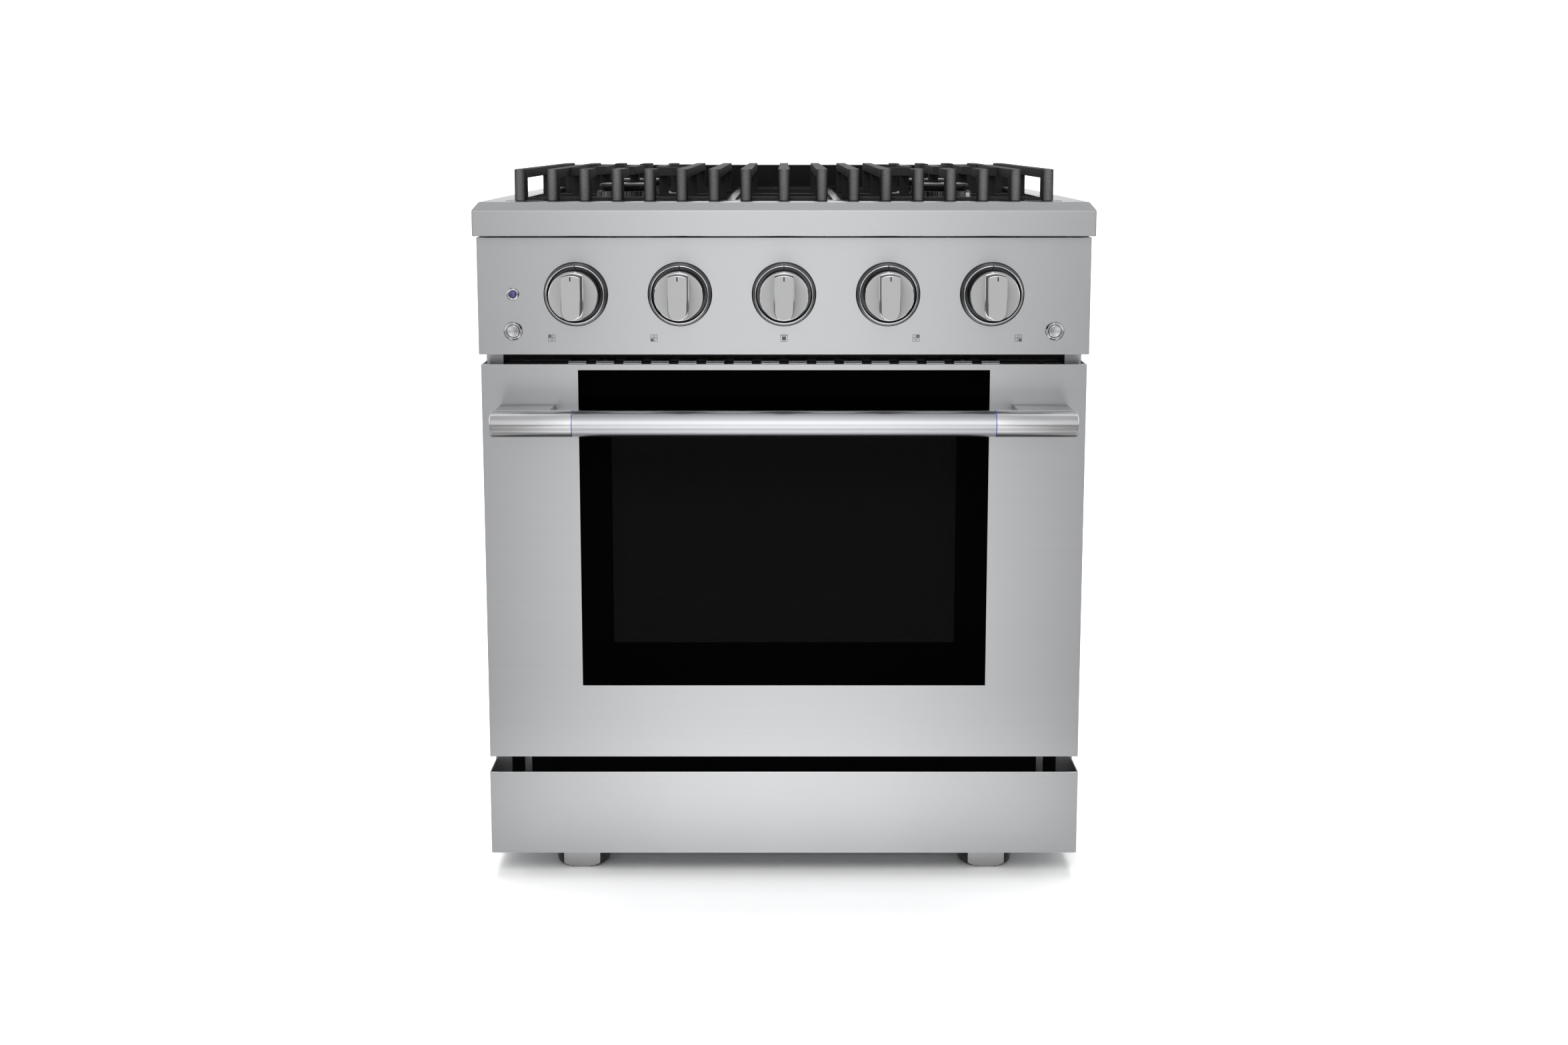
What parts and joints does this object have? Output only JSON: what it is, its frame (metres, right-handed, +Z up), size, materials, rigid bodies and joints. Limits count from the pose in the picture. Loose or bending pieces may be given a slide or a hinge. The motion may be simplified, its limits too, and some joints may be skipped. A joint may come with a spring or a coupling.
{
  "type": "freestanding gas range",
  "caption": "Freestanding stainless gas range: cast-iron grates over sealed burners, a knob panel, a drop-down glass oven door with a bar handle, a kick panel and round levelling legs.",
  "frame": {"origin": "bottom centre of the bounding box, on the floor", "axes": "+Z up, -Y towards the cook (the door's side), +X to the right as seen from the front"},
  "size_m": [0.76, 0.7932, 0.914],
  "materials": {
    "brushed_stainless": "stainless sheet, fine horizontal brushing",
    "satin_steel": "satin machined steel",
    "polished_chrome": "mirror chrome plate",
    "dark_chrome": "dark bright-rimmed chrome",
    "rack_chrome": "bright wire",
    "galvanised_sheet": "dull zinc spangle",
    "aluminised_steel": "dull aluminised tube",
    "cast_aluminium": "fine cast grain",
    "black_enamel": "glossy black porcelain enamel",
    "oven_enamel": "speckled dark porcelain enamel",
    "cast_iron": "matt black enamelled casting, fine grain",
    "black_glass": "tinted tempered glass with a black printed border",
    "lamp_glass": "moulded lens",
    "gasket_braid": "braided glass fibre"
  },
  "bodies": {
    "range_body": {"leg_front_left": "polished_chrome", "leg_front_right": "polished_chrome", "leg_rear_left": "polished_chrome", "leg_rear_right": "polished_chrome", "base_chassis": "galvanised_sheet", "kick_panel": "brushed_stainless", "side_panel_left": "brushed_stainless", "side_panel_right": "brushed_stainless", "back_panel": "galvanised_sheet", "front_frame": "black_enamel", "oven_liner": "oven_enamel", "oven_floor": "oven_enamel", "bake_burner": "aluminised_steel", "broil_burner": "aluminised_steel", "fan_cover": "oven_enamel", "oven_lamp": "lamp_glass", "rack_lower": "rack_chrome", "rack_upper": "rack_chrome", "door_gasket": "gasket_braid", "door_hinge_left": "galvanised_sheet", "door_hinge_right": "galvanised_sheet", "control_panel": "brushed_stainless", "knob_bezel_1": "dark_chrome", "knob_bezel_2": "dark_chrome", "knob_bezel_3": "dark_chrome", "knob_bezel_4": "dark_chrome", "knob_bezel_5": "dark_chrome", "light_button_ring": "polished_chrome", "fan_button_ring": "polished_chrome", "indicator_lamp": "lamp_glass", "gas_manifold": "galvanised_sheet", "cooktop_frame": "brushed_stainless", "burner_pan": "black_enamel", "burner_base_left_front": "cast_aluminium", "burner_base_left_rear": "cast_aluminium", "burner_base_right_front": "cast_aluminium", "burner_base_right_rear": "cast_aluminium", "burner_cap_left_front": "cast_iron", "burner_cap_left_rear": "cast_iron", "burner_cap_right_front": "cast_iron", "burner_cap_right_rear": "cast_iron", "rear_trim": "black_enamel"},
    "door": {"door_skin": "brushed_stainless", "door_glass_outer": "black_glass", "door_inner_pan": "black_enamel", "door_glass_inner": "black_glass", "handle_bar": "satin_steel", "handle_end_left": "polished_chrome", "handle_end_right": "polished_chrome"},
    "knob_1": {"knob_1": "satin_steel"},
    "knob_2": {"knob_2": "satin_steel"},
    "knob_3": {"knob_3": "satin_steel"},
    "knob_4": {"knob_4": "satin_steel"},
    "knob_5": {"knob_5": "satin_steel"},
    "light_button": {"light_button": "polished_chrome"},
    "fan_button": {"fan_button": "polished_chrome"},
    "grate_left": {"grate_left": "cast_iron"},
    "grate_centre": {"grate_centre": "cast_iron"},
    "grate_right": {"grate_right": "cast_iron"},
    "convection_fan": {"convection_fan": "cast_aluminium"}
  },
  "joints": [
    {"name": "door_open", "type": "hinge", "parent": "range_body", "child": "door", "pos_m": [0, -0.27435, 0.177], "axis": [1, 0, 0], "range_deg": [0, 90], "stiffness_Nm_per_rad": 22, "springref_deg": -25.78},
    {"name": "knob_1_turn", "type": "hinge", "parent": "range_body", "child": "knob_1", "pos_m": [-0.2576, -0.33435, 0.7607], "axis": [0, -1, 0], "range_deg": [0, 230]},
    {"name": "knob_2_turn", "type": "hinge", "parent": "range_body", "child": "knob_2", "pos_m": [-0.1288, -0.33435, 0.7607], "axis": [0, -1, 0], "range_deg": [0, 230]},
    {"name": "knob_3_turn", "type": "hinge", "parent": "range_body", "child": "knob_3", "pos_m": [0, -0.33435, 0.7607], "axis": [0, -1, 0], "range_deg": [0, 270]},
    {"name": "knob_4_turn", "type": "hinge", "parent": "range_body", "child": "knob_4", "pos_m": [0.1288, -0.33435, 0.7607], "axis": [0, -1, 0], "range_deg": [0, 230]},
    {"name": "knob_5_turn", "type": "hinge", "parent": "range_body", "child": "knob_5", "pos_m": [0.2576, -0.33435, 0.7607], "axis": [0, -1, 0], "range_deg": [0, 230]},
    {"name": "light_button_press", "type": "slide", "parent": "range_body", "child": "light_button", "axis": [0, 1, 0], "range_m": [0, 0.002], "stiffness_N_per_m": 400},
    {"name": "fan_button_press", "type": "slide", "parent": "range_body", "child": "fan_button", "axis": [0, 1, 0], "range_m": [0, 0.002], "stiffness_N_per_m": 400},
    {"name": "grate_left_lift", "type": "slide", "parent": "range_body", "child": "grate_left", "axis": [0, 0, 1], "range_m": [0, 0.06]},
    {"name": "grate_centre_lift", "type": "slide", "parent": "range_body", "child": "grate_centre", "axis": [0, 0, 1], "range_m": [0, 0.06]},
    {"name": "grate_right_lift", "type": "slide", "parent": "range_body", "child": "grate_right", "axis": [0, 0, 1], "range_m": [0, 0.06]},
    {"name": "convection_fan_spin", "type": "hinge", "parent": "range_body", "child": "convection_fan", "pos_m": [0, 0.20165, 0.415], "axis": [0, -1, 0], "continuous": true}
  ]
}
